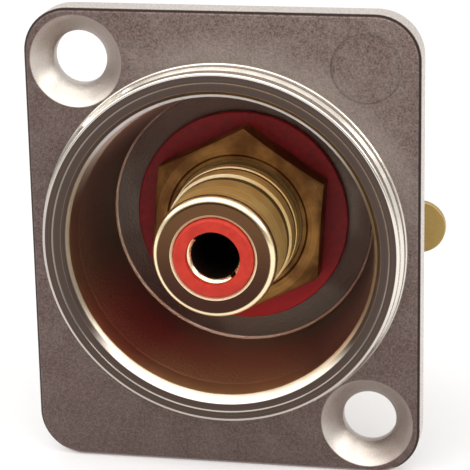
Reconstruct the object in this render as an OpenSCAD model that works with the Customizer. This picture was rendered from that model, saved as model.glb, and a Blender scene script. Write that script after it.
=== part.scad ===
// Phono socket in a flanged panel housing.
// The front faces -Y, +Z is up and +X is to the right as seen from the front.
// The origin is on the socket's axis, in the plane of the flange's rear face,
// which seats on the panel. Sizes are in millimetres.

/* [Flange] */
// Width of the flange
flange_w = 26; // [25.5:0.5:32]
// Height of the flange
flange_h = 31; // [30.5:0.5:38]
// Thickness of the flange
flange_t = 2; // [1.6:0.1:3]
// Radius of the flange's corners
flange_corner_r = 3; // [1:0.25:6]
// Chamfer round the front edge of the flange
flange_edge = 0.25; // [0.1:0.05:0.6]

/* [Screw holes] */
// Distance of a screw hole's centre from the flange's two nearest edges
screw_inset = 3.5; // [3.2:0.05:3.6]
// Diameter of a screw hole
screw_hole_d = 3.6; // [3:0.1:4]
// Diameter of a countersink at the flange's face
countersink_d = 6.1; // [4.6:0.1:6.2]
// Full angle of a countersink
countersink_angle = 90; // [82:1:100]

/* [Blank field] */
// Diameter of the plain shallow field in the upper right corner
field_d = 4.6; // [3:0.1:5.5]
// Distance of the field's centre from the flange's two nearest edges
field_inset = 3.5; // [3.2:0.05:3.6]
// Depth of the plain shallow field
field_depth = 0.14; // [0.05:0.01:0.4]

/* [Front rim] */
// Outer diameter of the rim
rim_d = 24.1; // [24:0.02:24.2]
// Height of the rim in front of the flange
rim_h = 1.5; // [1.2:0.1:3]
// Width of the small ledge round the rim
ledge_w = 0.2; // [0.1:0.05:0.4]
// Height of the small ledge above the flange
ledge_h = 0.75; // [0.4:0.05:0.9]
// Radius of the rim's outer front edge
rim_round = 0.16; // [0.05:0.01:0.25]
// Diameter at which the rim's front face steps down
rim_step_d = 22.4; // [22:0.1:23]
// Height of the step in the rim's front face
rim_step_h = 0.08; // [0.04:0.01:0.2]
// Diameter of the lip, where the inner chamfer starts
lip_d = 21.3; // [20.8:0.1:21.8]
// Chamfer inside the lip
lip_chamfer = 0.5; // [0.2:0.05:0.8]

/* [Cup] */
// Depth of the cup's floor behind the flange's front face
cup_depth = 7; // [6:0.1:9]
// Diameter of the cup at its floor
cup_floor_d = 17.95; // [16.5:0.05:19]
// Small chamfer between the cup's wall and its floor
cup_corner = 0.18; // [0.05:0.01:0.5]
// Thickness of the floor
floor_t = 1.6; // [1:0.1:3]
// Diameter of the barrel that passes through the panel
barrel_d = 23.6; // [22.8:0.1:23.8]
// Chamfer at the barrel's rear edge
barrel_chamfer = 0.4; // [0.1:0.05:0.8]
// Fillet at the root of the rim, where it meets the flange
rim_root = 0.1; // [0.05:0.01:0.3]

/* [Insulators on the floor] */
// Diameter of the front insulating washer
front_washer_d = 14.6; // [13.6:0.1:15.6]
// Thickness of the front insulating washer
front_washer_t = 0.5; // [0.3:0.1:1.2]
// Eased edge of the front insulating washer
washer_ease = 0.08; // [0.02:0.01:0.12]
// Diameter of the rear bush's head
bush_head_d = 14; // [12.6:0.1:16]
// Thickness of the rear bush's head
bush_head_t = 1; // [0.6:0.1:2]
// Eased edge of the rear bush's head
bush_ease = 0.12; // [0.05:0.01:0.3]
// Diameter of the rear bush's sleeve, which lines the floor's hole
bush_sleeve_d = 9.9; // [9.4:0.1:10.8]
// Radial clearance of the bush's sleeve in the floor's hole
bush_clearance = 0.05; // [0.02:0.01:0.2]
// Gap between the bush's sleeve and the front insulating washer
bush_gap = 0.1; // [0.05:0.05:0.4]

/* [Jack body] */
// Outer diameter of the sleeve that the plug slides over
sleeve_d = 8.2; // [8:0.05:8.4]
// Length of the sleeve in front of the hex
sleeve_l = 7.6; // [6.5:0.1:10]
// Radius of the sleeve's rounded front edge
sleeve_round = 0.5; // [0.2:0.05:0.7]
// Chamfer at the mouth of the sleeve's bore
bore_chamfer = 0.12; // [0.04:0.02:0.2]
// Distance of the first step from the hex
first_step_y = 2.9; // [2.4:0.1:3.4]
// Distance of the second step from the hex
second_step_y = 1.25; // [1:0.05:1.6]
// Height of the first step above the sleeve
first_step_h = 0.16; // [0.05:0.01:0.2]
// Height of the second step above the first
second_step_h = 0.08; // [0.05:0.01:0.2]
// Width of the groove in front of the hex
groove_w = 0.5; // [0.3:0.05:0.7]
// Depth of the groove in front of the hex
groove_depth = 0.4; // [0.1:0.05:0.4]
// Width of the hex across its flats
hex_af = 11.4; // [10.8:0.1:12]
// Thickness of the hex
hex_t = 1.9; // [1.2:0.1:3]
// Turn of the hex about the socket's axis, as it was tightened
hex_turn = 4.2; // [0:0.1:30]
// Diameter of the hex's flat face inside its corner chamfer
hex_face_d = 11.1; // [10.4:0.1:11.4]
// Diameter of the shallow turned recess in the hex's face
face_recess_d = 9.7; // [9.2:0.1:10.2]
// Depth of the shallow turned recess in the hex's face
face_recess_depth = 0.12; // [0.05:0.01:0.3]
// Outer diameter of the shank's thread
thread_d = 8; // [7.8:0.1:8.2]
// Depth of the thread, whose ridges are not cut here
thread_depth = 0.3; // [0.2:0.05:0.4]
// Length of the shank behind the nut
shank_past_nut = 1.6; // [1:0.1:4]
// Chamfer at the shank's rear end
shank_chamfer = 0.25; // [0.1:0.05:0.4]
// Diameter of the bore in the front of the body
front_bore_d = 5.4; // [5.2:0.1:5.8]
// Diameter of the bore in the rear of the body
rear_bore_d = 6.4; // [6.2:0.1:6.6]
// Distance of the step between the two bores behind the sleeve's front
bore_step_y = 6; // [4:0.1:8]
// Thickness of the lip rolled over the rear insulator
rolled_lip_t = 0.3; // [0.2:0.05:0.6]
// Width of the lip rolled over the rear insulator
rolled_lip_w = 0.3; // [0.15:0.05:0.4]

/* [Core] */
// Radial clearance of the insulators in the body
core_clearance = 0.04; // [0.02:0.01:0.08]
// How far the front insulator stands out of the sleeve
nose_out = 0.22; // [0.1:0.02:0.6]
// Chamfer of the front insulator's nose
nose_chamfer = 0.16; // [0.05:0.01:0.3]
// Diameter of the hole in the front insulator's nose
nose_hole_d = 3.6; // [3.4:0.05:3.8]
// Thickness of the front insulator's nose ahead of the contact
nose_t = 0.6; // [0.4:0.1:1.2]
// Length of the front insulator behind the step in the bore
core_head_l = 4; // [3:0.1:5]
// How far the rear insulator stands out of the rolled lip
tail_boss_out = 0.6; // [0.3:0.1:1.5]
// Eased edge of the rear insulator's boss
boss_ease = 0.15; // [0.05:0.05:0.3]

/* [Centre contact] */
// Bore of the contact, which takes the plug's pin
contact_bore_d = 3.2; // [3.1:0.02:3.24]
// Wall of the contact's socket
contact_wall_t = 0.4; // [0.25:0.05:0.5]
// Depth of the contact's bore
contact_bore_l = 8.4; // [7.6:0.1:8.8]
// Chamfer at the mouth of the contact's bore
contact_chamfer = 0.2; // [0.05:0.01:0.24]
// Width of the slit that lets the contact spring
slit_w = 0.4; // [0.2:0.05:0.8]
// Length of the slit
slit_l = 5.5; // [3:0.1:6.5]
// Turn of the slit about the socket's axis
slit_turn = 135; // [0:5:175]
// Diameter of the contact's collar, held between the insulators
collar_d = 5.2; // [4.8:0.1:5.4]
// Thickness of the contact's collar
collar_t = 0.8; // [0.5:0.1:1.4]
// Diameter of the contact's tail
tail_d = 2.5; // [2.2:0.1:2.8]
// Length of the tail behind the rear insulator
tail_out = 5; // [4.6:0.1:8]
// Eased edge at the tail's end
tail_ease = 0.1; // [0.02:0.02:0.2]
// Wire bore of the solder cup
cup_bore_d = 1.7; // [1.2:0.1:1.9]
// Depth of the solder cup
cup_bore_l = 3.6; // [2:0.1:4.2]
// Length of the solder cup's open side
cup_open_l = 2.4; // [1:0.1:3.2]

/* [Ground lug] */
// Thickness of the lug
lug_t = 0.6; // [0.4:0.1:1]
// Diameter of the lug's ring
lug_ring_d = 11.6; // [10.6:0.1:12.6]
// Width of the lug's tongue
tongue_w = 3.6; // [2.8:0.1:4.2]
// Reach of the tongue from the socket's axis
tongue_reach = 13.6; // [12.5:0.1:16]
// Turn of the tongue below level, as it was tightened
tongue_turn = 6; // [0:1:30]
// Diameter of the wire hole in the tongue
wire_hole_d = 1.6; // [1:0.1:2]
// Length of the wire hole
wire_hole_l = 2.6; // [2.2:0.1:3.2]
// Distance of the wire hole's centre from the tongue's tip
wire_hole_in = 4; // [3.6:0.1:4.4]

/* [Lock washer] */
// Thickness of the lock washer
lock_t = 0.5; // [0.3:0.1:1]
// Outer diameter of the lock washer
lock_d = 10.8; // [10.2:0.1:11.8]
// Number of teeth
lock_teeth = 10; // [6:1:14]
// Width of the gap between two teeth
lock_gap_w = 0.9; // [0.5:0.1:1.2]
// Width of the ring that carries the teeth
lock_ring_w = 0.55; // [0.4:0.05:0.8]
// Eased edge of the lock washer
lock_ease = 0.06; // [0.02:0.01:0.1]

/* [Nut] */
// Width of the nut across its flats
nut_af = 11; // [10.4:0.1:13]
// Thickness of the nut
nut_t = 2.2; // [1.6:0.1:4]
// How far the nut's flat faces stop short of its flats
nut_face_in = 0.15; // [0:0.05:0.4]
// Turn of the nut about the socket's axis
nut_turn = 11; // [0:1:30]
// Chamfer at both ends of the nut's thread
nut_lead = 0.4; // [0.1:0.05:0.6]

/* [Fits] */
// Radial clearance of the washers, bush and lug round the thread
round_thread = 0.1; // [0.05:0.05:0.3]
// Radial clearance of the nut on the shank's core
nut_clearance = 0.04; // [0.02:0.01:0.1]
// Angle of the chamfer on the corners of the hex and the nut
corner_angle = 20; // [15:1:30]

/* [Hidden] */
$fn = 96;

// How far a cut runs past the face that it opens
past = 1;
// Straight steps in the rounding of the rim and of the sleeve
rim_steps = 3;
sleeve_steps = 6;

// Places along Y, from the flange's rear face at 0
flange_front_y = -flange_t;
rim_front_y = flange_front_y - rim_h;
floor_front_y = flange_front_y + cup_depth;
floor_rear_y = floor_front_y + floor_t;
washer_front_y = floor_front_y - front_washer_t;
hex_front_y = washer_front_y - hex_t;
sleeve_front_y = hex_front_y - sleeve_l;
lug_front_y = floor_rear_y + bush_head_t;
lock_front_y = lug_front_y + lug_t;
nut_front_y = lock_front_y + lock_t;
nut_rear_y = nut_front_y + nut_t;
shank_rear_y = nut_rear_y + shank_past_nut;

// Radii that several pieces share
thread_pass_r = thread_d / 2 + round_thread;
thread_core_r = thread_d / 2 - thread_depth;
floor_hole_r = bush_sleeve_d / 2 + bush_clearance;
front_bore_r = front_bore_d / 2;
rear_bore_r = rear_bore_d / 2;
tail_r = tail_d / 2;

// Places inside the jack
bore_step_at = sleeve_front_y + bore_step_y;
core_split_y = bore_step_at + core_head_l;
lip_front_y = shank_rear_y - rolled_lip_t;
nose_front_y = sleeve_front_y - nose_out;
contact_front_y = nose_front_y + nose_t;
boss_rear_y = shank_rear_y + tail_boss_out;
tail_rear_y = boss_rear_y + tail_out;

// Points along an arc about (x, y)
function arc(x, y, r, from, to, steps) =
    [for (i = [0:steps])
        let (a = from + (to - from) * i / steps)
        [x + r * cos(a), y + r * sin(a)]];

// Turns a profile of [radius, y] points about the socket's axis
module turned(profile) {
    rotate([-90, 0, 0])
        rotate_extrude()
            polygon(profile);
}

// Plain cylinder along Y between two places
module rod(r, from_y, to_y) {
    translate([0, from_y, 0])
        rotate([-90, 0, 0])
            cylinder(r = r, h = to_y - from_y);
}

// Flat ring about the socket's axis with slightly eased outer edges
module flat_ring(outer_r, inner_r, from_y, to_y, ease) {
    turned([
        [inner_r, from_y],
        [outer_r - ease, from_y],
        [outer_r, from_y + ease],
        [outer_r, to_y - ease],
        [outer_r - ease, to_y],
        [inner_r, to_y]
    ]);
}

// Six-sided blank along Y, with its corners chamfered in front and, if asked, behind
module hex_blank(af, face_r, from_y, to_y, turn, both_ends) {
    corner_r = af / 2 / cos(30);
    clear_r = corner_r + past;
    drop = (clear_r - face_r) * tan(corner_angle);
    intersection() {
        rotate([0, turn, 0])
            translate([0, from_y, 0])
                rotate([-90, 0, 0])
                    rotate([0, 0, 30])
                        cylinder(r = corner_r, h = to_y - from_y, $fn = 6);
        turned([
            [0, from_y],
            [face_r, from_y],
            [clear_r, from_y + drop],
            [clear_r, both_ends ? to_y - drop : to_y],
            [both_ends ? face_r : clear_r, to_y],
            [0, to_y]
        ]);
    }
}

// Edge section of the flange, from a point inside it out to a side at the given reach
function edge_section(inner, reach) = [
    [inner, 0],
    [reach, 0],
    [reach, flange_front_y + flange_edge],
    [reach - flange_edge, flange_front_y],
    [inner, flange_front_y]
];

// Plate with rounded corners and a chamfered front edge
module flange_plate() {
    straight_w = flange_w - 2 * flange_corner_r;
    straight_h = flange_h - 2 * flange_corner_r;
    // Upper and lower strips
    for (side = [0, 1])
        mirror([0, 0, side])
            translate([-straight_w / 2, 0, 0])
                rotate([90, 0, 90])
                    linear_extrude(straight_w)
                        polygon([for (p = edge_section(0, flange_h / 2)) [p[1], p[0]]]);
    // Left and right strips
    for (side = [0, 1])
        mirror([side, 0, 0])
            translate([0, 0, -straight_h / 2])
                linear_extrude(straight_h)
                    polygon(edge_section(straight_w / 2, flange_w / 2));
    // Corners
    for (x = [0, 1], z = [0, 1])
        mirror([x, 0, 0])
            mirror([0, 0, z])
                translate([straight_w / 2, 0, straight_h / 2])
                    rotate([-90, 0, 0])
                        rotate_extrude(start = 270, angle = 90)
                            polygon(edge_section(0, flange_corner_r));
}

// Hole with a countersink in the flange's front face
module screw_hole() {
    hole_r = screw_hole_d / 2;
    slope = tan(countersink_angle / 2);
    cone_depth = (countersink_d / 2 - hole_r) / slope;
    rod(hole_r, flange_front_y - past, past);
    translate([0, flange_front_y - past, 0])
        rotate([-90, 0, 0])
            cylinder(r1 = countersink_d / 2 + past * slope, r2 = hole_r, h = cone_depth + past);
}

// Rim, cup and barrel, as one turned form
module cup_form() {
    rim_r = rim_d / 2;
    ledge_y = flange_front_y - ledge_h;
    lip_y = rim_front_y + rim_step_h;
    mouth_r = lip_d / 2 - lip_chamfer;
    mouth_y = lip_y + lip_chamfer;
    floor_r = cup_floor_d / 2;
    taper = (mouth_r - floor_r) / (floor_front_y - mouth_y);
    front_edge_r = rim_r - ledge_w - rim_round;
    turned(concat(
        [
            [floor_hole_r, floor_rear_y],
            [barrel_d / 2 - barrel_chamfer, floor_rear_y],
            [barrel_d / 2, floor_rear_y - barrel_chamfer],
            [barrel_d / 2, flange_front_y / 2],
            [rim_r + rim_root, flange_front_y / 2],
            [rim_r + rim_root, flange_front_y],
            [rim_r, flange_front_y - rim_root],
            [rim_r, ledge_y + ledge_w / 2],
            [rim_r - ledge_w, ledge_y - ledge_w / 2]
        ],
        arc(front_edge_r, rim_front_y + rim_round, rim_round, 0, -90, rim_steps),
        [
            [rim_step_d / 2, rim_front_y],
            [rim_step_d / 2 - rim_step_h, lip_y],
            [lip_d / 2, lip_y],
            [mouth_r, mouth_y],
            [floor_r + taper * cup_corner, floor_front_y - cup_corner],
            [floor_r - cup_corner, floor_front_y],
            [floor_hole_r, floor_front_y]
        ]
    ));
}

module housing() {
    color([0.46, 0.42, 0.4])
    difference() {
        union() {
            difference() {
                flange_plate();
                rod(barrel_d / 2 - barrel_chamfer, flange_front_y - past, past);
            }
            cup_form();
        }
        for (side = [-1, 1])
            translate([side * (flange_w / 2 - screw_inset), 0, -side * (flange_h / 2 - screw_inset)])
                screw_hole();
        translate([flange_w / 2 - field_inset, 0, flange_h / 2 - field_inset])
            rod(field_d / 2, flange_front_y - past, flange_front_y + field_depth);
    }
}

// Insulating disc between the hex and the cup's floor
module front_washer() {
    color([0.6, 0.1, 0.12])
        flat_ring(front_washer_d / 2, thread_pass_r, washer_front_y, floor_front_y, washer_ease);
}

// Shouldered bush that keeps the shank and the lug off the housing
module rear_bush() {
    sleeve_r = bush_sleeve_d / 2;
    color([0.6, 0.1, 0.12])
        turned([
            [thread_pass_r, floor_front_y + bush_gap],
            [sleeve_r, floor_front_y + bush_gap],
            [sleeve_r, floor_rear_y],
            [bush_head_d / 2, floor_rear_y],
            [bush_head_d / 2, lug_front_y - bush_ease],
            [bush_head_d / 2 - bush_ease, lug_front_y],
            [thread_pass_r, lug_front_y]
        ]);
}

// Turned body: sleeve, steps, hex and threaded shank, bored for the insulators
module jack_body() {
    sleeve_r = sleeve_d / 2;
    first_r = sleeve_r + first_step_h;
    second_r = first_r + second_step_h;
    groove_r = second_r - groove_depth;
    first_y = hex_front_y - first_step_y;
    second_y = hex_front_y - second_step_y;
    groove_y = hex_front_y - groove_w;
    lip_r = rear_bore_r - rolled_lip_w;
    edge_x = sleeve_r - sleeve_round;
    color([0.72, 0.55, 0.24])
    difference() {
        union() {
            turned(concat(
                [
                    [front_bore_r, sleeve_front_y + bore_chamfer],
                    [front_bore_r + bore_chamfer, sleeve_front_y]
                ],
                arc(edge_x, sleeve_front_y + sleeve_round, sleeve_round, -90, 0, sleeve_steps),
                [
                    [sleeve_r, first_y],
                    [first_r, first_y + first_step_h],
                    [first_r, second_y],
                    [second_r, second_y + second_step_h],
                    [second_r, groove_y],
                    [groove_r, groove_y],
                    [groove_r, hex_front_y + hex_t / 2],
                    [thread_core_r, hex_front_y + hex_t / 2],
                    [thread_core_r, shank_rear_y - shank_chamfer],
                    [thread_core_r - shank_chamfer, shank_rear_y],
                    [lip_r, shank_rear_y],
                    [lip_r, lip_front_y],
                    [rear_bore_r, lip_front_y],
                    [rear_bore_r, bore_step_at],
                    [front_bore_r, bore_step_at]
                ]
            ));
            difference() {
                hex_blank(hex_af, hex_face_d / 2, hex_front_y, washer_front_y, hex_turn, false);
                rod(rear_bore_r + rolled_lip_w / 2, hex_front_y - past, washer_front_y + past);
            }
        }
        // Shallow recess turned in the face of the hex
        turned([
            [groove_r, hex_front_y],
            [groove_r, hex_front_y + face_recess_depth],
            [face_recess_d / 2 - face_recess_depth, hex_front_y + face_recess_depth],
            [face_recess_d / 2, hex_front_y]
        ]);
    }
}

// Insulator that fills the sleeve and shows as the coloured ring
module front_insulator() {
    nose_r = front_bore_r - core_clearance;
    head_r = rear_bore_r - core_clearance;
    pocket_r = contact_bore_d / 2 + contact_wall_t + core_clearance;
    color([0.78, 0.14, 0.1])
        turned([
            [nose_hole_d / 2, nose_front_y],
            [nose_r - nose_chamfer, nose_front_y],
            [nose_r, nose_front_y + nose_chamfer],
            [nose_r, bore_step_at],
            [head_r, bore_step_at],
            [head_r, core_split_y],
            [pocket_r, core_split_y],
            [pocket_r, contact_front_y],
            [nose_hole_d / 2, contact_front_y]
        ]);
}

// Insulator that closes the body from behind and carries the contact's tail
module rear_insulator() {
    head_r = rear_bore_r - core_clearance;
    boss_r = rear_bore_r - rolled_lip_w - core_clearance;
    color([0.78, 0.14, 0.1])
        turned([
            [collar_d / 2 + core_clearance, core_split_y],
            [head_r, core_split_y],
            [head_r, lip_front_y],
            [boss_r, lip_front_y],
            [boss_r, boss_rear_y - boss_ease],
            [boss_r - boss_ease, boss_rear_y],
            [tail_r + core_clearance, boss_rear_y],
            [tail_r + core_clearance, core_split_y + collar_t],
            [collar_d / 2 + core_clearance, core_split_y + collar_t]
        ]);
}

// Slit socket for the plug's pin, with its collar, tail and solder cup in one piece
module centre_contact() {
    bore_r = contact_bore_d / 2;
    tube_r = bore_r + contact_wall_t;
    bore_end_y = contact_front_y + contact_bore_l;
    color([0.72, 0.55, 0.24])
    difference() {
        turned([
            [bore_r + contact_chamfer, contact_front_y],
            [tube_r, contact_front_y],
            [tube_r, core_split_y],
            [collar_d / 2, core_split_y],
            [collar_d / 2, core_split_y + collar_t],
            [tail_r, core_split_y + collar_t],
            [tail_r, tail_rear_y - tail_ease],
            [tail_r - tail_ease, tail_rear_y],
            [0, tail_rear_y],
            [0, bore_end_y],
            [bore_r, bore_end_y],
            [bore_r, contact_front_y + contact_chamfer]
        ]);
        rotate([0, slit_turn, 0])
            translate([-slit_w / 2, contact_front_y - past, -tube_r - past])
                cube([slit_w, slit_l + past, 2 * (tube_r + past)]);
        rod(cup_bore_d / 2, tail_rear_y - cup_bore_l, tail_rear_y + past);
        translate([-tail_r - past, tail_rear_y - cup_open_l, 0])
            cube([2 * (tail_r + past), cup_open_l + past, tail_r + past]);
    }
}

// Stamped tag with a ring round the shank and a tongue for the ground wire
module ground_lug() {
    tip_r = tongue_w / 2;
    tip_x = tongue_reach - tip_r;
    hole_x = tongue_reach - wire_hole_in;
    hole_half = (wire_hole_l - wire_hole_d) / 2;
    color([0.7, 0.54, 0.25])
    rotate([0, tongue_turn, 0])
    translate([0, lock_front_y, 0])
    rotate([90, 0, 0])
    linear_extrude(lug_t)
    difference() {
        union() {
            circle(r = lug_ring_d / 2);
            translate([0, -tip_r])
                square([tip_x, tongue_w]);
            translate([tip_x, 0])
                circle(r = tip_r);
        }
        circle(r = thread_pass_r);
        for (end = [-1, 1])
            translate([hole_x + end * hole_half, 0])
                circle(r = wire_hole_d / 2);
        translate([hole_x - hole_half, -wire_hole_d / 2])
            square([2 * hole_half, wire_hole_d]);
    }
}

// Washer with teeth inside its ring, which keeps the nut from working loose
module lock_washer() {
    ring_inner_r = lock_d / 2 - lock_ring_w;
    color([0.62, 0.6, 0.56])
    difference() {
        flat_ring(lock_d / 2, thread_pass_r, lock_front_y, nut_front_y, lock_ease);
        for (i = [0:lock_teeth - 1])
            rotate([0, 360 * i / lock_teeth, 0])
                translate([0, lock_front_y - past, -lock_gap_w / 2])
                    cube([ring_inner_r, lock_t + 2 * past, lock_gap_w]);
    }
}

// Nut that draws the jack tight against the floor
module rear_nut() {
    core_r = thread_core_r + nut_clearance;
    color([0.72, 0.55, 0.24])
    difference() {
        hex_blank(nut_af, nut_af / 2 - nut_face_in, nut_front_y, nut_rear_y, nut_turn, true);
        turned([
            [0, nut_front_y - past],
            [core_r + nut_lead + past, nut_front_y - past],
            [core_r, nut_front_y + nut_lead],
            [core_r, nut_rear_y - nut_lead],
            [core_r + nut_lead + past, nut_rear_y + past],
            [0, nut_rear_y + past]
        ]);
    }
}

housing();
front_washer();
rear_bush();
jack_body();
front_insulator();
rear_insulator();
centre_contact();
ground_lug();
lock_washer();
rear_nut();
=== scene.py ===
"""Looks of the phono panel socket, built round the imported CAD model.

Metres in the CAD's frame: the front faces -Y, +Z is up, and the origin lies on the
socket's axis in the plane of the flange's rear face. The materials work in millimetres.
"""

import math

import bmesh
import bpy
from mathutils import Matrix, Vector


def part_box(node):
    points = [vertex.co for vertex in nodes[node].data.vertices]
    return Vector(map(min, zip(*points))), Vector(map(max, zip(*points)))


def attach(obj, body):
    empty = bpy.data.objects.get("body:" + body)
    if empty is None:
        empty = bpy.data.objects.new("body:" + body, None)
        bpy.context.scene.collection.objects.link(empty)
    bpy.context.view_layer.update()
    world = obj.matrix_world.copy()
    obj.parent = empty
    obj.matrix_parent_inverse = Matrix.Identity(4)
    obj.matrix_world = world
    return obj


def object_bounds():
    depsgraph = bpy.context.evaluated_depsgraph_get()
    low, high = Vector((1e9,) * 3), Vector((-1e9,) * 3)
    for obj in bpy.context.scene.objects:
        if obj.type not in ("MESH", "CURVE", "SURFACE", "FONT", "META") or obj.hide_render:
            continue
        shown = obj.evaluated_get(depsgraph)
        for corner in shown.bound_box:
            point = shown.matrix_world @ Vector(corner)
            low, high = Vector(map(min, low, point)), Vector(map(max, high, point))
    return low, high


MM = 0.001

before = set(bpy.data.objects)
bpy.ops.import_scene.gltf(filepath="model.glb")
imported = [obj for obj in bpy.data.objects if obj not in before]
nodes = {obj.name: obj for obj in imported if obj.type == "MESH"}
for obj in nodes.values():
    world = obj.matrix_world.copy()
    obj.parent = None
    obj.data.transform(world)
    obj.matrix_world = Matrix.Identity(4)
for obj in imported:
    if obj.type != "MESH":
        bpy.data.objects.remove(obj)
cad_low, cad_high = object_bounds()
scene = bpy.context.scene


# Camera, at the photograph's viewing angle

CAMERA_AZIMUTH = math.radians(11.914)
CAMERA_ELEVATION = math.radians(17.184)
CAMERA_ROLL = math.radians(-1.133)
CAMERA_PLACE = Vector((29.63, -138.48, 43.82)) * MM
SENSOR_MM = 36.0
FOCAL_PX = 2236.1
IMAGE_PX = 470
CLIP_START = 0.01
CLIP_END = 20


def make_camera():
    """Camera whose axes follow the fitted azimuth, elevation and roll."""
    back = Vector((
        math.sin(CAMERA_AZIMUTH) * math.cos(CAMERA_ELEVATION),
        -math.cos(CAMERA_AZIMUTH) * math.cos(CAMERA_ELEVATION),
        math.sin(CAMERA_ELEVATION),
    ))
    level_right = Vector((math.cos(CAMERA_AZIMUTH), math.sin(CAMERA_AZIMUTH), 0))
    level_up = back.cross(level_right)
    right = math.cos(CAMERA_ROLL) * level_right + math.sin(CAMERA_ROLL) * level_up
    up = -math.sin(CAMERA_ROLL) * level_right + math.cos(CAMERA_ROLL) * level_up
    data = bpy.data.cameras.new("camera")
    data.sensor_width = SENSOR_MM
    data.lens = FOCAL_PX / IMAGE_PX * SENSOR_MM
    data.clip_start = CLIP_START
    data.clip_end = CLIP_END
    camera = bpy.data.objects.new("camera", data)
    turn = Matrix((right, up, back)).transposed().to_4x4()
    camera.matrix_world = Matrix.Translation(CAMERA_PLACE) @ turn
    scene.collection.objects.link(camera)
    scene.camera = camera


# Node-tree helpers

def is_socket(value):
    return isinstance(value, bpy.types.NodeSocket)


class Nodes:
    """Adds nodes to a node tree and links them. Any value may be a number or an output."""

    def __init__(self, tree):
        self.tree = tree

    def add(self, kind, **settings):
        node = self.tree.nodes.new(kind)
        for key, value in settings.items():
            setattr(node, key, value)
        return node

    def put(self, socket, value):
        """Links an output to a socket, or sets the socket's own value."""
        if is_socket(value):
            self.tree.links.new(value, socket)
        else:
            socket.default_value = value

    def math(self, operation, a, b=0.0, clamp=False):
        node = self.add("ShaderNodeMath", operation=operation, use_clamp=clamp)
        self.put(node.inputs[0], a)
        self.put(node.inputs[1], b)
        return node.outputs[0]

    def plus(self, a, b):
        return self.math("ADD", a, b)

    def minus(self, a, b):
        return self.math("SUBTRACT", a, b)

    def times(self, a, b):
        return self.math("MULTIPLY", a, b)

    def larger(self, a, b):
        return self.math("MAXIMUM", a, b)

    def length(self, a, b):
        return self.math("SQRT", self.plus(self.times(a, a), self.times(b, b)))

    def noise(self, vector, scale, detail=2.0, roughness=0.5):
        node = self.add("ShaderNodeTexNoise")
        self.put(node.inputs["Vector"], vector)
        self.put(node.inputs["Scale"], scale)
        self.put(node.inputs["Detail"], detail)
        self.put(node.inputs["Roughness"], roughness)
        return node.outputs["Fac"]

    def ramp(self, value, low, high, out_low=0.0, out_high=1.0, smooth=True):
        """Maps value from low..high to out_low..out_high, held at the ends."""
        node = self.add("ShaderNodeMapRange")
        node.interpolation_type = "SMOOTHSTEP" if smooth else "LINEAR"
        self.put(node.inputs["Value"], value)
        self.put(node.inputs["From Min"], low)
        self.put(node.inputs["From Max"], high)
        self.put(node.inputs["To Min"], out_low)
        self.put(node.inputs["To Max"], out_high)
        return node.outputs["Result"]

    def band(self, value, low, high, soft):
        """1 between low and high, 0 outside, with soft edges."""
        above_low = self.ramp(value, low - soft, low)
        return self.times(above_low, self.ramp(value, high + soft, high))

    def mix_number(self, share, a, b):
        node = self.add("ShaderNodeMix", data_type="FLOAT")
        self.put(node.inputs["Factor"], share)
        self.put(node.inputs["A"], a)
        self.put(node.inputs["B"], b)
        return node.outputs["Result"]

    def mix_colour(self, share, a, b):
        node = self.add("ShaderNodeMix", data_type="RGBA")
        # The node has one set of sockets for each data type: 0, 6, 7 and 2 are the colour's
        self.put(node.inputs[0], share)
        self.put(node.inputs[6], a if is_socket(a) else (*a, 1.0))
        self.put(node.inputs[7], b if is_socket(b) else (*b, 1.0))
        return node.outputs[2]

    def bump(self, height, strength, distance, normal=None):
        node = self.add("ShaderNodeBump")
        self.put(node.inputs["Strength"], strength)
        self.put(node.inputs["Distance"], distance)
        self.put(node.inputs["Height"], height)
        if normal is not None:
            self.put(node.inputs["Normal"], normal)
        return node.outputs["Normal"]


class Surface(Nodes):
    """A new material, with the point on the object and its distance from the axis."""

    def __init__(self, name):
        self.material = bpy.data.materials.new(name)
        self.material.use_nodes = True
        super().__init__(self.material.node_tree)
        self.shader = self.tree.nodes["Principled BSDF"]
        coordinates = self.add("ShaderNodeTexCoord")
        scaled = self.add("ShaderNodeVectorMath", operation="SCALE")
        self.put(scaled.inputs[0], coordinates.outputs["Object"])
        self.put(scaled.inputs["Scale"], 1 / MM)
        self.point = scaled.outputs[0]
        split = self.add("ShaderNodeSeparateXYZ")
        self.put(split.inputs[0], self.point)
        self.x, self.y, self.z = split.outputs
        self.radius = self.length(self.x, self.z)

    def shade(self, name, value):
        """Sets or links one of the shader's sockets."""
        self.put(self.shader.inputs[name], value)

    def turned_marks(self, scale):
        """Noise that is the same all round the axis, as a lathe tool leaves."""
        joined = self.add("ShaderNodeCombineXYZ")
        self.put(joined.inputs[0], self.radius)
        self.put(joined.inputs[1], self.y)
        return self.noise(joined.outputs[0], scale, detail=3.0, roughness=0.65)


# Most of a noise's values lie between these two
NOISE = (0.3, 0.7)

# Places on the part, in millimetres. Here and below, a pair is either the two sides of a
# band, or the stretch over which a look goes from nothing to its full strength.

SLEEVE_FRONT_Y = -5.0
FIRST_STEP_Y = -0.3
SECOND_STEP_Y = 1.35
GROOVE_Y = 2.1
HEX_FRONT_Y = 2.6
HEX_REAR_Y = 4.6
HEX_INNER_R = 4.5
MOUTH_R = (2.69, 2.87)

CONTACT_BORE_R = 1.6
CONTACT_BORE_Y = (-4.2, 3.9)

FLANGE_FRONT_Y = -2.0
FLANGE_HALF_H = 15.5
FLANGE_HALF_W = 13.0
CORNER_R = 3.0
SINK_X = 9.5
SINK_Z = 12.0
SINK_R = 3.05
RIM_OUTSIDE_R = 12.12
RIM_STEP_R = 11.16
RIM_FACE_R = (10.65, 11.63)
RIM_FACE_Y = -3.36
LIP_LINE_R = 10.36
CUP_MOUTH_R = 10.2
CUP_MOUTH_Y = -2.78
CUP_FLOOR_Y = 5.0


# Housing: zones

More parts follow.
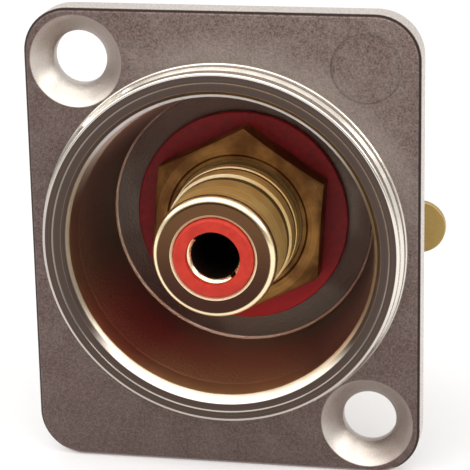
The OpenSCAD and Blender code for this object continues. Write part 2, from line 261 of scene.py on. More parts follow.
RIM_START_Y = (-1.3, -1.6)
RIM_SIDE_R = (RIM_OUTSIDE_R + 0.08, RIM_OUTSIDE_R - 0.04)
RIM_FACE_START_Y = (RIM_FACE_Y + 0.06, RIM_FACE_Y)
RIM_STEP = (RIM_STEP_R - 0.03, RIM_STEP_R + 0.03)
LIP_R = (RIM_FACE_R[0] + 0.04, RIM_FACE_R[0] - 0.06)
LIP_INNER_EDGE_R = (LIP_LINE_R - 0.05, LIP_LINE_R + 0.05)
CUP_SIDE_R = (CUP_MOUTH_R + 0.2, CUP_MOUTH_R)
CUP_Y = (CUP_MOUTH_Y, CUP_FLOOR_Y + 0.6)
BARREL_START_Y = (0.05, 0.2)
BARREL_SIDE_R = (12.4, 12.2)
SINK_START_Y = (-0.1, -0.3)
SINK_SIDE_R = (SINK_R + 0.06, SINK_R - 0.04)
# How far left counts beside how far down, and where the painted highlight on the left and
# right sinks begins
SINK_LEFT_SHARE = 0.55
SINK_HIGHLIGHT_STRETCH = ((-0.4, 2.6), (1.3, 3.0))


def sink_zones(n):
    """Where the countersinks are, and where a highlight is painted on them: down and to the
    left.
    """
    away = []
    down = []
    for side in (-1, 1):
        dx = n.minus(n.x, side * SINK_X)
        dz = n.minus(n.z, -side * SINK_Z)
        away.append(n.length(dx, dz))
        down.append(n.minus(n.times(dx, -SINK_LEFT_SHARE), dz))
    highlight_ramps = [n.ramp(value, *stretch) for value, stretch in zip(down, SINK_HIGHLIGHT_STRETCH)]
    sink_highlight_share = n.mix_number(n.math("GREATER_THAN", n.x, 0.0), *highlight_ramps)
    nearer = n.math("MINIMUM", *away)
    in_sink = n.times(n.ramp(n.y, *SINK_START_Y), n.ramp(nearer, *SINK_SIDE_R))
    return in_sink, sink_highlight_share


# Housing: colours of the flange and countersinks

# The front's cast colours are painted darker than the nickel is, as a painted reflection of
# the dim room in front
CAST = (0.295, 0.215, 0.199)
CAST_DARK = (0.105, 0.073, 0.066)
CAST_RANGE = (0.3, 0.68)
COARSE_SHARE = 0.32
SINK = (0.50, 0.45, 0.40)
SINK_HIGHLIGHT = (0.80, 0.755, 0.70)
WEAR_RANGE = (0.35, 0.7)
WEAR_SHARE = 0.12
# Painted shade on the front, towards its foot and to the left
SHADE_FOOT_Z = (FLANGE_HALF_H, -FLANGE_HALF_H)
SHADE_FOOT_SHARE = 0.55
SHADE_LEFT_X = (-3.0, -11.0)
SHADE_LEFT_Z = (-9.0, -1.0)
SHADE_LEFT_SHARE = 0.4
RIGHT_SHARE = 0.5
BESIDE_RIM_R = (14.6, RIM_OUTSIDE_R)
BESIDE_RIM_UP_RIGHT = (5.0, 13.0)
BESIDE_RIM_SHARE = 0.36
# Painted shade along the front face's edge, and a painted highlight along its foot
EDGE_SHADE = (0.045, 0.031, 0.027)
FOOT_EDGE_HIGHLIGHT = (0.40, 0.32, 0.31)
FOOT_EDGE_HIGHLIGHT_Z = (-FLANGE_HALF_H + 0.5, -FLANGE_HALF_H + 0.35)
EDGE_SHADE_INSIDE = (0.21, 0.14)
# The sides and back are paler than the front, partly as painted light
SIDE = (0.82, 0.765, 0.725)
SIDE_DARK = (0.58, 0.525, 0.485)
SIDE_Y = (FLANGE_FRONT_Y + 0.2, FLANGE_FRONT_Y + 0.27)


def flange_colour(n, grain, up_right):
    """Brown and grainy in front, painted darker there as a reflection of the dim room, with
    a dark line of painted shade along its edge, and brighter on its sides and back, partly
    as painted light.
    """
    coarse = n.noise(n.point, scale=3.4)
    mottle = n.plus(n.times(grain, 1 - COARSE_SHARE), n.times(coarse, COARSE_SHARE))
    cast = n.mix_colour(n.ramp(mottle, *CAST_RANGE), CAST_DARK, CAST)
    wear = n.noise(n.point, scale=0.5)
    cast = n.mix_colour(n.ramp(wear, *WEAR_RANGE, out_high=WEAR_SHARE), cast, SINK)
    # Painted shade: the front is darker to the left and towards its foot
    foot_shade = n.ramp(n.z, *SHADE_FOOT_Z, out_high=SHADE_FOOT_SHARE, smooth=False)
    left_shade = n.ramp(n.x, *SHADE_LEFT_X, out_high=SHADE_LEFT_SHARE)
    left_shade = n.times(left_shade, n.ramp(n.z, *SHADE_LEFT_Z))
    cast = n.mix_colour(n.larger(foot_shade, left_shade), cast, CAST_DARK)
    # The bright rim lights the plate beside it, up and to the right
    lit = n.ramp(up_right, *BESIDE_RIM_UP_RIGHT, out_high=BESIDE_RIM_SHARE)
    cast = n.mix_colour(n.times(n.ramp(n.radius, *BESIDE_RIM_R), lit), cast, SINK)
    # How far the point lies inside the flange's outline
    over_x = n.larger(n.minus(n.math("ABSOLUTE", n.x), FLANGE_HALF_W - CORNER_R), 0.0)
    over_z = n.larger(n.minus(n.math("ABSOLUTE", n.z), FLANGE_HALF_H - CORNER_R), 0.0)
    inside = n.minus(CORNER_R, n.length(over_x, over_z))
    # Painted shade: a dark line along the front face's edge, painted pale along its foot as
    # a painted highlight
    edge_shade_and_highlight = n.mix_colour(n.ramp(n.z, *FOOT_EDGE_HIGHLIGHT_Z), EDGE_SHADE, FOOT_EDGE_HIGHLIGHT)
    cast = n.mix_colour(n.ramp(inside, *EDGE_SHADE_INSIDE), cast, edge_shade_and_highlight)
    side = n.mix_colour(n.ramp(grain, *NOISE), SIDE_DARK, SIDE)
    return n.mix_colour(n.ramp(n.y, *SIDE_Y), cast, side)


def sink_colour(n, fine, sink_highlight_share):
    # Painted light: each sink is darker high up, and painted with a highlight at its foot,
    # down and to the left
    high = n.mix_colour(fine, CAST, SINK)
    low = n.mix_colour(fine, SINK, SINK_HIGHLIGHT)
    return n.mix_colour(sink_highlight_share, high, low)


# Housing: colours of the rim and its lip

# Painted light: the riser's pale colour up and to the right, and its painted shade elsewhere
RIM = (0.93, 0.88, 0.79)
RIM_SHADED = (0.56, 0.50, 0.465)
RIM_LIT_UP_RIGHT = (-4.0, 5.0)
RIM_RINGS_SHARE = 0.5
# Painted reflection of the dim room on the rim's front face, and a painted highlight line at
# its step
RIM_FACE_SHADE = (0.045, 0.029, 0.024)
RIM_GREY = (0.12, 0.088, 0.074)
RIM_STEP_HIGHLIGHT_SHARE = 0.22
# Painted highlights and painted shade on the lip
LIP_HIGHLIGHT = (0.86, 0.80, 0.70)
LIP_TOP_HIGHLIGHT = (0.76, 0.80, 0.88)
LIP_TOP_HIGHLIGHT_Z = (2.0, 7.0)
LIP_SHADE = (0.34, 0.31, 0.265)
LIP_SHADE_Z = (-3.5, 4.5)
LIP_OUTER_SHADE_Z = (-8.5, -5.5)
LIP_MATT_SHARE = 0.75


def rim_colour(n, rings, up_right, on_lip):
    """The rim's colour with its painted light and shade, and how matt its lip is."""
    on_face = n.band(n.radius, *RIM_FACE_R, soft=0.04)
    on_face = n.times(on_face, n.ramp(n.y, *RIM_FACE_START_Y))
    on_step = n.band(n.radius, *RIM_STEP, soft=0.03)
    # Painted light: the riser is paler up and to the right, and painted dimmer elsewhere as
    # shade
    bright = n.mix_colour(n.times(rings, RIM_RINGS_SHARE), RIM, SINK)
    rim = n.mix_colour(n.ramp(up_right, *RIM_LIT_UP_RIGHT), RIM_SHADED, bright)
    # Painted reflection: the front face is painted dark, as it mirrors the dim room in
    # front, with a painted highlight line at the step
    face = n.mix_colour(rings, RIM_FACE_SHADE, RIM_GREY)
    face = n.mix_colour(n.times(on_step, RIM_STEP_HIGHLIGHT_SHARE), face, RIM)
    rim = n.mix_colour(on_face, rim, face)
    # Painted light: the lip is painted with a highlight all over at its foot and elsewhere
    # only along its inner edge, with painted shade on its sides; above the foot its outer
    # half takes the face's painted shade
    lip = n.mix_colour(n.ramp(n.z, *LIP_TOP_HIGHLIGHT_Z), LIP_HIGHLIGHT, LIP_TOP_HIGHLIGHT)
    lip = n.mix_colour(n.band(n.z, *LIP_SHADE_Z, soft=4.0), lip, LIP_SHADE)
    lip_outer_shade = n.times(n.ramp(n.radius, *LIP_INNER_EDGE_R), n.ramp(n.z, *LIP_OUTER_SHADE_Z))
    rim = n.mix_colour(on_lip, rim, n.mix_colour(lip_outer_shade, lip, face))
    lip_bright = n.math("SUBTRACT", on_lip, lip_outer_shade, clamp=True)
    lip_matt = n.times(lip_bright, n.ramp(n.z, *LIP_TOP_HIGHLIGHT_Z, out_high=LIP_MATT_SHARE))
    return rim, lip_matt


# Housing: colours of the cup

# The wall's brown is partly a painted reflection of the washer and gilt
CUP = (0.43, 0.31, 0.285)
CUP_OLIVE = (0.40, 0.335, 0.27)
CUP_STAIN_RANGE = (0.38, 0.62)
CUP_RINGS_SHARE = 0.35
# Painted reflection of the washer's red, and painted light at the wall's head and foot
CUP_RED_REFLECTION = (0.56, 0.25, 0.25)
CUP_RED_REFLECTION_Z = (-2.0, -6.0)
CUP_RED_REFLECTION_X = (5.0, 0.0)
CUP_FOOT_LIGHT = (0.77, 0.57, 0.42)
CUP_FOOT_LIGHT_Z = (-7.5, -9.8)
CUP_HEAD_LIGHT = (0.90, 0.72, 0.65)
CUP_HEAD_LIGHT_Z = (4.0, 8.0)
# The cup floor's dark colours are painted shade
CUP_FLOOR = (0.078, 0.048, 0.040)
CUP_FLOOR_PALE = (0.125, 0.100, 0.084)
CUP_FLOOR_START_Y = (CUP_FLOOR_Y - 0.06, CUP_FLOOR_Y - 0.02)
CUP_EDGE = (0.90, 0.70, 0.60)
CUP_EDGE_Y = (CUP_FLOOR_Y - 0.17, CUP_FLOOR_Y - 0.07)


def cup_colour(n, rings):
    """Stained wall, its brown partly a painted reflection of the washer and gilt, over a
    floor painted dark as shade, with a pale line where the two meet.
    """
    stain = n.ramp(n.noise(n.point, scale=0.16), *CUP_STAIN_RANGE)
    cup = n.mix_colour(stain, CUP, CUP_OLIVE)
    cup = n.mix_colour(n.times(rings, CUP_RINGS_SHARE), cup, CUP_FLOOR)
    # Painted reflection and painted light: the wall is painted with the washer's red low
    # down, and painted palest at its head and foot
    red = n.times(n.ramp(n.z, *CUP_RED_REFLECTION_Z), n.ramp(n.x, *CUP_RED_REFLECTION_X))
    cup = n.mix_colour(red, cup, CUP_RED_REFLECTION)
    cup = n.mix_colour(n.ramp(n.z, *CUP_FOOT_LIGHT_Z), cup, CUP_FOOT_LIGHT)
    cup = n.mix_colour(n.ramp(n.z, *CUP_HEAD_LIGHT_Z), cup, CUP_HEAD_LIGHT)
    # Painted shade: the cup's floor is painted dark, deep in the cup
    ground = n.mix_colour(stain, CUP_FLOOR, CUP_FLOOR_PALE)
    cup = n.mix_colour(n.ramp(n.y, *CUP_FLOOR_START_Y), cup, ground)
    return n.mix_colour(n.band(n.y, *CUP_EDGE_Y, soft=0.03), cup, CUP_EDGE)


# Housing: the whole material

BARREL = (0.64, 0.575, 0.53)
BARREL_DULL = (0.47, 0.405, 0.37)
CAST_ROUGH = (0.62, 0.5)
SINK_ROUGH = (0.36, 0.44)
TURNED_ROUGH = (0.2, 0.3)
LIP_ROUGH = 0.36
CUP_ROUGH = 0.36
SINK_HEIGHT = 0.2
TURNED_HEIGHT = 0.08
CAST_DEPTH = 0.06


def nickel_material():
    """Die-cast and plated: grainy on the flange, and turned on the rim and barrel."""
    n = Surface("satin_nickel")
    grain = n.noise(n.point, scale=7.5, detail=3.0, roughness=0.65)
    fine = n.noise(n.point, scale=11.0)
    rings = n.turned_marks(scale=7.0)
    up_right = n.plus(n.z, n.times(n.x, RIGHT_SHARE))

    on_rim = n.times(n.ramp(n.y, *RIM_START_Y), n.ramp(n.radius, *RIM_SIDE_R))
    on_lip = n.times(on_rim, n.ramp(n.radius, *LIP_R))
    in_cup = n.times(n.ramp(n.radius, *CUP_SIDE_R), n.band(n.y, *CUP_Y, soft=0.1))
    on_barrel = n.times(n.ramp(n.y, *BARREL_START_Y), n.ramp(n.radius, *BARREL_SIDE_R))
    on_barrel = n.times(on_barrel, n.minus(1.0, in_cup))
    in_sink, sink_highlight_share = sink_zones(n)

    flange = flange_colour(n, grain, up_right)
    rim, lip_matt = rim_colour(n, rings, up_right, on_lip)
    barrel = n.mix_colour(rings, BARREL, BARREL_DULL)
    colour = n.mix_colour(in_sink, flange, sink_colour(n, fine, sink_highlight_share))
    colour = n.mix_colour(on_rim, colour, rim)
    colour = n.mix_colour(in_cup, colour, cup_colour(n, rings))
    n.shade("Base Color", n.mix_colour(on_barrel, colour, barrel))
    n.shade("Metallic", n.minus(1.0, lip_matt))

    turned = n.larger(on_rim, on_barrel)
    cast_rough = n.ramp(grain, *NOISE, *CAST_ROUGH)
    rough = n.mix_number(in_sink, cast_rough, n.ramp(fine, *NOISE, *SINK_ROUGH))
    rough = n.mix_number(turned, rough, n.ramp(rings, *NOISE, *TURNED_ROUGH))
    rough = n.mix_number(on_lip, rough, LIP_ROUGH)
    n.shade("Roughness", n.mix_number(in_cup, rough, CUP_ROUGH))

    height = n.mix_number(in_sink, grain, n.times(fine, SINK_HEIGHT))
    height = n.mix_number(turned, height, n.times(rings, TURNED_HEIGHT))
    n.shade("Normal", n.bump(height, strength=0.8, distance=CAST_DEPTH * MM))
    return n.material


# Jack body and nut

GOLD = (1.0, 0.76, 0.31)
GOLD_DARK = (0.90, 0.60, 0.22)
# Pale gilt of the painted highlights
GOLD_HIGHLIGHT = (1.0, 0.82, 0.53)
GOLD_RANGE = (0.3, 0.75)
# Dark colour of the painted shade and of the turning lines
GRIME_AND_SHADE = (0.05, 0.024, 0.012)
GRIME_AND_SHADE_SHARE = 0.85
# Painted reflection of the dim room on the hex face, with a random mottle
HEX_BROWN = (0.15, 0.066, 0.024)
HEX_GOLD = (0.34, 0.18, 0.058)
HEX_RANGE = (0.35, 0.65)
# Painted reflection of the dim room on the sleeve's front face, paler towards its top as
# painted light
FACE_REFLECTION_BROWN = (0.055, 0.024, 0.017)
FACE_LIT_TOP = (0.13, 0.064, 0.030)
FACE_LIT_TOP_Z = (-3.2, 3.2)

FRONT_FACE_Y = (SLEEVE_FRONT_Y + 0.05, SLEEVE_FRONT_Y + 0.01)
FRONT_EDGE_Y = (SLEEVE_FRONT_Y + 0.56, SLEEVE_FRONT_Y + 0.46)
FRONT_EDGE_R = (3.3, 3.5)
SLEEVE_SIDE_Y = (SLEEVE_FRONT_Y + 0.55, SLEEVE_FRONT_Y + 0.75)
SLEEVE_END_Y = (HEX_FRONT_Y + 0.3, HEX_FRONT_Y + 0.1)
SLEEVE_SIDE_R = (4.5, 4.4)
HEX_FACE_R = (HEX_INNER_R - 0.2, HEX_INNER_R)
# Painted shade in front of each step and in the groove
FIRST_SHADE_Y = (FIRST_STEP_Y - 0.55, FIRST_STEP_Y - 0.1)
SECOND_SHADE_Y = (SECOND_STEP_Y - 0.3, SECOND_STEP_Y - 0.06)
GROOVE_SHADE_Y = (GROOVE_Y + 0.05, HEX_FRONT_Y + 0.1)
FIRST_EDGE_Y = (FIRST_STEP_Y, FIRST_STEP_Y + 0.2)
SECOND_EDGE_Y = (SECOND_STEP_Y, SECOND_STEP_Y + 0.12)
# Where the painted highlights on the steps' edges lie, strongest to the upper left
HIGHLIGHT_UP_LEFT = (1.0, 5.0)
HIGHLIGHT_SHARE = (0.15, 1.0)
LINES_RANGE = (0.5, 0.66)
LINES_SHARE = 0.7
MOUTH_START_Y = (SLEEVE_FRONT_Y + 0.18, SLEEVE_FRONT_Y + 0.14)
# Painted highlight on the bore's mouth, strongest at its foot
MOUTH_HIGHLIGHT_Z = (2.6, -1.5)
MOUTH_HIGHLIGHT_SHARE = (0.35, 1.0)
MOUTH_MATT_SHARE = 0.8
MOUTH_ROUGH = 0.5
FACE_ROUGH = (0.13, 0.24)
SLEEVE_ROUGH = (0.43, 0.64)
SLEEVE_MARKS = 6.0
GOLD_MARK_DEPTH = 0.006
# How far the bump raises the edge of each step and the stretch between them, in millimetres
FIRST_EDGE_RISE = 0.15
SECOND_EDGE_RISE = 0.08
STEP_RISE = 0.35


def gilt_colour(n, sleeve):
    """Gilt with painted shade and dark turning lines, painted highlights on its edges, and a
    hex and front face painted brown as a painted reflection.
    """
    tint = n.noise(n.point, scale=0.6, detail=3.0)
    gilt = n.mix_colour(n.ramp(tint, *GOLD_RANGE), GOLD_DARK, GOLD)
    # Painted shade lies in front of each step and in the groove, and dark turning lines run
    # round the sleeve
    first = n.band(n.y, *FIRST_SHADE_Y, soft=0.12)
    second = n.band(n.y, *SECOND_SHADE_Y, soft=0.08)
    grime_and_shade = n.larger(n.larger(first, second), n.band(n.y, *GROOVE_SHADE_Y, soft=0.08))
    lines = n.ramp(n.turned_marks(scale=2.6), *LINES_RANGE, out_high=LINES_SHARE)
    grime_and_shade = n.times(n.larger(grime_and_shade, lines), n.times(sleeve, GRIME_AND_SHADE_SHARE))
    gilt = n.mix_colour(grime_and_shade, gilt, GRIME_AND_SHADE)
    # Painted highlights: pale all round the front edge, and on the steps' edges to the upper
    # left
    front_edge_highlight = n.times(n.ramp(n.y, *FRONT_EDGE_Y), n.ramp(n.radius, *FRONT_EDGE_R))
    first = n.band(n.y, *FIRST_EDGE_Y, soft=0.05)
    second = n.band(n.y, *SECOND_EDGE_Y, soft=0.05)
    up_left = n.ramp(n.minus(n.z, n.x), *HIGHLIGHT_UP_LEFT, *HIGHLIGHT_SHARE)
    step_highlight = n.times(n.times(n.larger(first, second), up_left), sleeve)
    gilt = n.mix_colour(n.larger(front_edge_highlight, step_highlight), gilt, GOLD_HIGHLIGHT)
    # Painted reflection: the hex face is painted brown, darker than the gilt, as it mirrors
    # the dim room, with a random mottle
    on_hex = n.band(n.y, HEX_FRONT_Y, HEX_REAR_Y, soft=0.06)
    on_hex = n.times(on_hex, n.ramp(n.radius, *HEX_FACE_R))
    hex_mottle = n.ramp(n.noise(n.point, scale=0.45, detail=3.0), *HEX_RANGE)
    gilt = n.mix_colour(on_hex, gilt, n.mix_colour(hex_mottle, HEX_BROWN, HEX_GOLD))
    # Painted reflection: the front face is painted dark brown, as it mirrors the dim room in
    # front, and paler towards its top as painted light
    face = n.mix_colour(n.ramp(n.z, *FACE_LIT_TOP_Z), FACE_REFLECTION_BROWN, FACE_LIT_TOP)
    return n.mix_colour(n.ramp(n.y, *FRONT_FACE_Y), gilt, face)


def gilt_material():
    """Turned and gilt metal with fine marks round the axis."""
    n = Surface("gilt_brass")
    marks = n.turned_marks(scale=12.0)
    sleeve = n.times(n.ramp(n.y, *SLEEVE_END_Y), n.ramp(n.radius, *SLEEVE_SIDE_R))
    # The mouth of the bore is worn matt, so it doesn't mirror the core, and painted with a
    # highlight that is strongest at its foot
    on_mouth = n.band(n.radius, *MOUTH_R, soft=0.02)
    on_mouth = n.times(on_mouth, n.ramp(n.y, *MOUTH_START_Y))
    mouth_highlight = n.times(on_mouth, n.ramp(n.z, *MOUTH_HIGHLIGHT_Z, *MOUTH_HIGHLIGHT_SHARE))
    colour = n.mix_colour(mouth_highlight, gilt_colour(n, sleeve), GOLD_HIGHLIGHT)
    n.shade("Base Color", colour)
    n.shade("Metallic", n.minus(1.0, n.times(on_mouth, MOUTH_MATT_SHARE)))
    # The sleeve's side is rougher than its faces, with deeper turning marks
    on_side = n.ramp(n.y, *SLEEVE_SIDE_Y)
    face_rough = n.ramp(marks, *NOISE, *FACE_ROUGH)
    rough = n.mix_number(on_side, face_rough, n.ramp(marks, *NOISE, *SLEEVE_ROUGH))
    n.shade("Roughness", n.mix_number(on_mouth, rough, MOUTH_ROUGH))
    # The steps' edges are rounded a little more than the mesh has them
    first = n.ramp(n.y, *FIRST_EDGE_Y, out_high=FIRST_EDGE_RISE, smooth=False)
    second = n.ramp(n.y, *SECOND_EDGE_Y, out_high=SECOND_EDGE_RISE, smooth=False)
    between = n.ramp(n.y, FIRST_STEP_Y, SECOND_STEP_Y, out_high=STEP_RISE, smooth=False)
    rounding = n.plus(n.plus(first, second), between)
    rounded = n.bump(n.times(rounding, sleeve), strength=1.0, distance=MM)
    height = n.times(marks, n.mix_number(on_side, 1.0, SLEEVE_MARKS))
    depth = GOLD_MARK_DEPTH * MM
    n.shade("Normal", n.bump(height, strength=0.5, distance=depth, normal=rounded))
    return n.material


# Contact, lug, insulators and lock washer

# Painted shade deep in the bore
CONTACT_BORE_SHADE = (0.05, 0.03, 0.025)
CONTACT_SIDE_R = (CONTACT_BORE_R + 0.16, CONTACT_BORE_R + 0.02)
CONTACT_MOUTH_Y = (CONTACT_BORE_Y[0] + 0.3, CONTACT_BORE_Y[0])
CONTACT_ROUGH = (0.16, 0.28)
CONTACT_INSIDE_ROUGH = 0.6
CONTACT_MARK_DEPTH = 0.006
SHEET_GRAIN_DEPTH = 0.01
TAG_DARK = (0.42, 0.29, 0.095)
TAG_PALE = (0.64, 0.47, 0.175)
TAG_ROUGH = (0.28, 0.42)
TAG_STRETCH = (1.0, 1.0, 9.0)
PLASTIC_LIT_FOOT_Z = (-2.0, -6.0)
PLASTIC_ROUGH_SPREAD = 0.12
PLASTIC_SPECULAR = 0.25
PLASTIC_MARK_DEPTH = 0.012
STEEL_DARK = (0.42, 0.40, 0.37)
STEEL_PALE = (0.62, 0.60, 0.56)
STEEL_ROUGH = (0.22, 0.36)


def contact_material():
    """Gilt with a painted highlight at the mouth, and rougher and painted dark further in,
    as shade in the bore.
    """
    n = Surface("gilt_contact")
    marks = n.turned_marks(scale=12.0)
    inside = n.ramp(n.radius, *CONTACT_SIDE_R)
    inside = n.times(inside, n.band(n.y, *CONTACT_BORE_Y, soft=0.2))
    gilt = n.mix_colour(marks, GOLD_DARK, GOLD)
    # Painted highlight at the mouth, and painted shade deep in the bore
    gilt = n.mix_colour(n.ramp(n.y, *CONTACT_MOUTH_Y), gilt, GOLD_HIGHLIGHT)
    rough = n.ramp(marks, *NOISE, *CONTACT_ROUGH)
    n.shade("Base Color", n.mix_colour(inside, gilt, CONTACT_BORE_SHADE))
    n.shade("Metallic", 1.0)
    n.shade("Roughness", n.mix_number(inside, rough, CONTACT_INSIDE_ROUGH))
    n.shade("Normal", n.bump(marks, strength=0.4, distance=CONTACT_MARK_DEPTH * MM))
    return n.material


def tag_material():
    """Stamped sheet with a fine rolled grain."""
    n = Surface("gilt_tag")
    stretched = n.add("ShaderNodeMapping")
    n.put(stretched.inputs["Vector"], n.point)
    n.put(stretched.inputs["Scale"], TAG_STRETCH)
    grain = n.noise(stretched.outputs[0], scale=3.0, detail=4.0)
    n.shade("Base Color", n.mix_colour(grain, TAG_DARK, TAG_PALE))
    n.shade("Metallic", 1.0)
    n.shade("Roughness", n.ramp(grain, *NOISE, *TAG_ROUGH))
    n.shade("Normal", n.bump(grain, strength=0.4, distance=SHEET_GRAIN_DEPTH * MM))
    return n.material


def plastic_material(name, colour, deep, foot, rough):
    """Moulded insulator with faint mottling and turning marks, painted brighter towards its
    foot as painted light.
    """
    n = Surface(name)
    mottle = n.noise(n.point, scale=2.2, detail=3.0)
    body = n.mix_colour(n.ramp(mottle, *NOISE), deep, colour)
    # Painted light: brighter towards the foot
    n.shade("Base Color", n.mix_colour(n.ramp(n.z, *PLASTIC_LIT_FOOT_Z), body, foot))
    n.shade("Roughness", n.ramp(mottle, *NOISE, rough, rough + PLASTIC_ROUGH_SPREAD))
    n.shade("Specular IOR Level", PLASTIC_SPECULAR)
    marks = n.turned_marks(scale=8.0)
    n.shade("Normal", n.bump(marks, strength=0.35, distance=PLASTIC_MARK_DEPTH * MM))
    return n.material


def spring_steel_material():
    """Plain plated washer."""
    n = Surface("plain_nickel")
    grain = n.noise(n.point, scale=4.0, detail=3.0)
    n.shade("Base Color", n.mix_colour(grain, STEEL_DARK, STEEL_PALE))
    n.shade("Metallic", 1.0)
    n.shade("Roughness", n.ramp(grain, *NOISE, *STEEL_ROUGH))
    n.shade("Normal", n.bump(grain, strength=0.3, distance=SHEET_GRAIN_DEPTH * MM))
    return n.material


# The CAD nodes and their materials

EDGE_ROUND = 0.05 * MM
EDGE_ANGLE = math.radians(32)
WELD_DISTANCE = 1e-6

WASHER_RED = (0.25, 0.011, 0.014)
WASHER_DEEP = (0.17, 0.007, 0.010)
# Painted light on the washer's foot
WASHER_LIT_FOOT = (0.50, 0.018, 0.024)
WASHER_ROUGH = 0.45
CORE_RED = (0.60, 0.040, 0.022)
CORE_DEEP = (0.50, 0.027, 0.014)
CORE_ROUGH = 0.34


def soften_edges(piece):
    """Rounds a CAD node's sharp edges without touching its mesh."""
    weld = piece.modifiers.new("join", "WELD")
    weld.merge_threshold = WELD_DISTANCE
    bevel = piece.modifiers.new("edges", "BEVEL")
    bevel.width = EDGE_ROUND
    bevel.segments = 2
    bevel.limit_method = "ANGLE"
    bevel.angle_limit = EDGE_ANGLE
    bevel.use_clamp_overlap = True
    bevel.harden_normals = True


def dress_cad_nodes():
    """Materials of the CAD nodes, and small rounded edges on all of them."""
    washer = (WASHER_RED, WASHER_DEEP, WASHER_LIT_FOOT, WASHER_ROUGH)
    core = (CORE_RED, CORE_DEEP, CORE_RED, CORE_ROUGH)
    worn_by = {
        plastic_material("red_insulator", *washer): ("front_washer", "rear_bush"),
        plastic_material("red_core", *core): ("front_insulator", "rear_insulator"),
        gilt_material(): ("jack_body", "rear_nut"),
        nickel_material(): ("housing",),
        contact_material(): ("centre_contact",),
        tag_material(): ("ground_lug",),
        spring_steel_material(): ("lock_washer",),
    }
    for material, names in worn_by.items():
        for name in names:
            slots = nodes[name].data.materials
            slots.clear()
            slots.append(material)
    for piece in nodes.values():
        soften_edges(piece)


# Thread ridge on the shank's free end

THREAD_R = 4.0 * MM
THREAD_ROOT_R = 3.68 * MM
THREAD_PITCH = 0.75 * MM
THREAD_HALF = 0.42 * THREAD_PITCH
THREAD_CREST_HALF = 0.09 * THREAD_PITCH
THREAD_STEPS = 72
THREAD_RUNOUT = 1 / 8
NUT_GAP = 0.05 * MM
SHANK_END_GAP = 0.3 * MM


def thread_ridge():
    """Helical ridge behind the nut, with its ends run out into the core."""
    start_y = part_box("rear_nut")[1].y + NUT_GAP + THREAD_HALF
    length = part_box("jack_body")[1].y - SHANK_END_GAP - THREAD_HALF - start_y
    turns = length / THREAD_PITCH
    count = int(turns * THREAD_STEPS)
    mesh = bmesh.new()
    rings = []
    for i in range(count + 1):
        share = i / count
        angle = 2 * math.pi * turns * share
        y = start_y + length * share
        fade = min(1.0, share / THREAD_RUNOUT, (1 - share) / THREAD_RUNOUT)
        top_r = THREAD_ROOT_R + (THREAD_R - THREAD_ROOT_R) * fade
        section = (
            (THREAD_ROOT_R, -THREAD_HALF),
            (top_r, -THREAD_CREST_HALF),
            (top_r, THREAD_CREST_HALF),
            (THREAD_ROOT_R, THREAD_HALF),
        )
        rings.append([
            mesh.verts.new((r * math.cos(angle), y + across, r * math.sin(angle)))
            for r, across in section
        ])
    for a, b in zip(rings, rings[1:]):
        for k in range(4):
            after = (k + 1) % 4
            mesh.faces.new((a[k], a[after], b[after], b[k]))
    mesh.faces.new(rings[0])
    mesh.faces.new(list(reversed(rings[-1])))
    bmesh.ops.recalc_face_normals(mesh, faces=mesh.faces)
    data = bpy.data.meshes.new("shank_thread")
    mesh.to_mesh(data)
    mesh.free()
    piece = bpy.data.objects.new("shank_thread", data)
    scene.collection.objects.link(piece)
    data.materials.append(bpy.data.materials["gilt_brass"])
    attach(piece, "root")


# Floor, world and lamps

ROOM_FRONT = 0.25
ROOM_ROUND = 0.75
ROOM_FRONT_Y = (-0.85, -0.35)
ROOM_CEILING = 0.9
ROOM_CEILING_Z = (0.15, 0.4)
ROOM_COLOUR = (1.0, 0.99, 0.98, 1)
FLOOR_HALF = 3.0
FLOOR_GAP = 0.02 * MM
FLOOR_PALE = (0.62, 0.62, 0.625)
FLOOR_PALER = (0.66, 0.66, 0.665)
FLOOR_ROUGH = 0.9
FLOOR_SPECULAR = 0.1
FLOOR_GLOW = 0.28
WHITE = (1, 1, 1, 1)
LAMP_COLOUR = (1.0, 0.98, 0.95)
# Name, place, size and power of each lamp; all of them aim at the origin
LAMPS = (
    ("key_above", (-0.04, -0.20, 0.36), (0.60, 0.34), 1.0),
    ("fill_left", (-0.36, -0.06, 0.20), (0.30, 0.16), 0.22),
    ("fill_right", (0.36, -0.18, 0.24), (0.30, 0.16), 0.45),
)


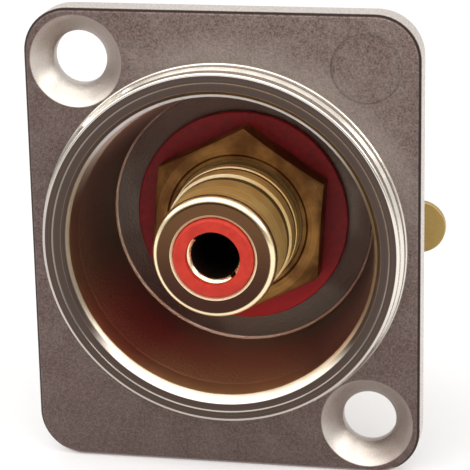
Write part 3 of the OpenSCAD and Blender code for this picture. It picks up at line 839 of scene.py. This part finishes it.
def make_floor():
    """Pale floor that stays white round the object and keeps its shadow."""
    z = cad_low.z - FLOOR_GAP
    h = FLOOR_HALF
    mesh = bpy.data.meshes.new("floor")
    corners = [(-h, -h, z), (h, -h, z), (h, h, z), (-h, h, z)]
    mesh.from_pydata(corners, [], [(0, 1, 2, 3)])
    floor = bpy.data.objects.new("floor", mesh)
    scene.collection.objects.link(floor)
    n = Surface("floor")
    clouds = n.noise(n.point, scale=0.02, detail=1.0)
    path = n.add("ShaderNodeLightPath").outputs
    seen = n.larger(path["Is Camera Ray"], path["Is Glossy Ray"])
    seen = n.larger(seen, path["Is Transmission Ray"])
    n.shade("Base Color", n.mix_colour(clouds, FLOOR_PALE, FLOOR_PALER))
    n.shade("Roughness", FLOOR_ROUGH)
    n.shade("Specular IOR Level", FLOOR_SPECULAR)
    n.shade("Emission Color", WHITE)
    n.shade("Emission Strength", n.times(seen, FLOOR_GLOW))
    mesh.materials.append(n.material)


def make_world():
    """Soft room: pale all round the object and dimmer in front of it."""
    world = bpy.data.worlds.new("room")
    scene.world = world
    world.use_nodes = True
    world.node_tree.nodes.clear()
    n = Nodes(world.node_tree)
    split = n.add("ShaderNodeSeparateXYZ")
    n.put(split.inputs[0], n.add("ShaderNodeTexCoord").outputs["Generated"])
    level = n.ramp(split.outputs["Y"], *ROOM_FRONT_Y, ROOM_FRONT, ROOM_ROUND)
    ceiling = n.ramp(split.outputs["Z"], *ROOM_CEILING_Z, out_high=ROOM_CEILING)
    back = n.add("ShaderNodeBackground")
    n.put(back.inputs["Color"], ROOM_COLOUR)
    n.put(back.inputs["Strength"], n.larger(level, ceiling))
    n.put(n.add("ShaderNodeOutputWorld").inputs[0], back.outputs[0])


def make_lamps():
    """A large lamp above and in front, and a smaller one on each side."""
    for name, place, size, power in LAMPS:
        data = bpy.data.lights.new(name, "AREA")
        data.shape = "RECTANGLE"
        data.size, data.size_y = size
        data.energy = power
        data.color = LAMP_COLOUR
        lamp = bpy.data.objects.new(name, data)
        lamp.location = place
        lamp.rotation_mode = "QUATERNION"
        lamp.rotation_quaternion = (-Vector(place)).to_track_quat("-Z", "Y")
        scene.collection.objects.link(lamp)


make_camera()
dress_cad_nodes()
thread_ridge()
make_floor()
make_world()
make_lamps()

scene.view_settings.view_transform = "Standard"
